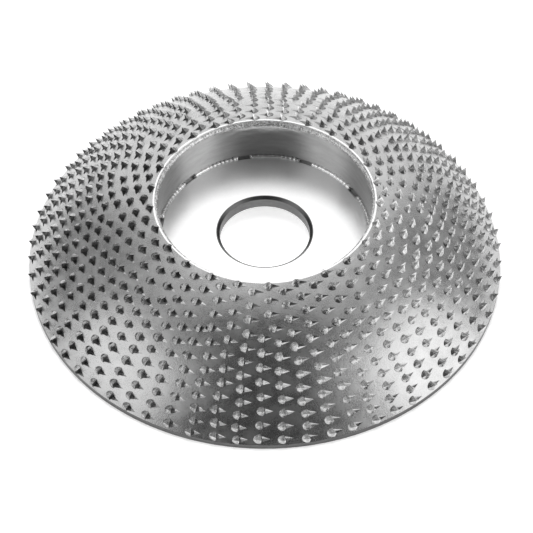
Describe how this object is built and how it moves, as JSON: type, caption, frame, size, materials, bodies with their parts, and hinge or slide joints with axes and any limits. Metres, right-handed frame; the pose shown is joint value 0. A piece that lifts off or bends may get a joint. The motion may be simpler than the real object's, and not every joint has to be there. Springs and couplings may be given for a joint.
{
  "type": "angle grinder carving disc",
  "caption": "Domed steel carving disc with raised rasp teeth, a central cup and a plain arbor bore, for shaping wood on an angle grinder.",
  "frame": {"origin": "centre of the arbor bore, at the back face of the hub plate", "axes": "+Z along the bore's axis, out of the cup and towards the toothed working face; X and Y have no preferred direction; every tooth cuts anticlockwise as seen from +Z"},
  "size_m": [0.0845, 0.0844, 0.0151],
  "materials": {
    "shell_steel": "satin bright-plated sheet steel",
    "tooth_steel": "satin bright-plated steel, raised from the shell",
    "cup_steel": "smooth drawn wall, softly reflecting",
    "hub_steel": "flat, bright and fine-grained",
    "weld_metal": "bright, slightly uneven bead"
  },
  "bodies": {
    "root": {"toothed_shell": "shell_steel", "cup_sleeve": "cup_steel", "hub_plate": "hub_steel", "floor_weld_beads": "weld_metal", "shell_weld": "weld_metal", "tooth_ring_1a": "tooth_steel", "tooth_ring_2a": "tooth_steel", "tooth_ring_3a": "tooth_steel", "tooth_ring_4a": "tooth_steel", "tooth_ring_5a": "tooth_steel", "tooth_ring_6a": "tooth_steel", "tooth_ring_7a": "tooth_steel", "tooth_ring_8a": "tooth_steel", "tooth_ring_9a": "tooth_steel", "tooth_ring_10a": "tooth_steel", "tooth_ring_11a": "tooth_steel", "tooth_ring_12a": "tooth_steel", "tooth_ring_1b": "tooth_steel", "tooth_ring_2b": "tooth_steel", "tooth_ring_3b": "tooth_steel", "tooth_ring_4b": "tooth_steel", "tooth_ring_5b": "tooth_steel", "tooth_ring_6b": "tooth_steel", "tooth_ring_7b": "tooth_steel", "tooth_ring_8b": "tooth_steel", "tooth_ring_9b": "tooth_steel", "tooth_ring_10b": "tooth_steel", "tooth_ring_11b": "tooth_steel", "tooth_ring_12b": "tooth_steel", "filler_tooth_ring_5": "tooth_steel", "filler_tooth_ring_6": "tooth_steel", "filler_tooth_ring_7": "tooth_steel", "filler_tooth_ring_8": "tooth_steel", "filler_tooth_ring_9": "tooth_steel", "filler_tooth_ring_10": "tooth_steel", "filler_tooth_ring_11": "tooth_steel", "filler_tooth_ring_12": "tooth_steel"}
  },
  "joints": []
}
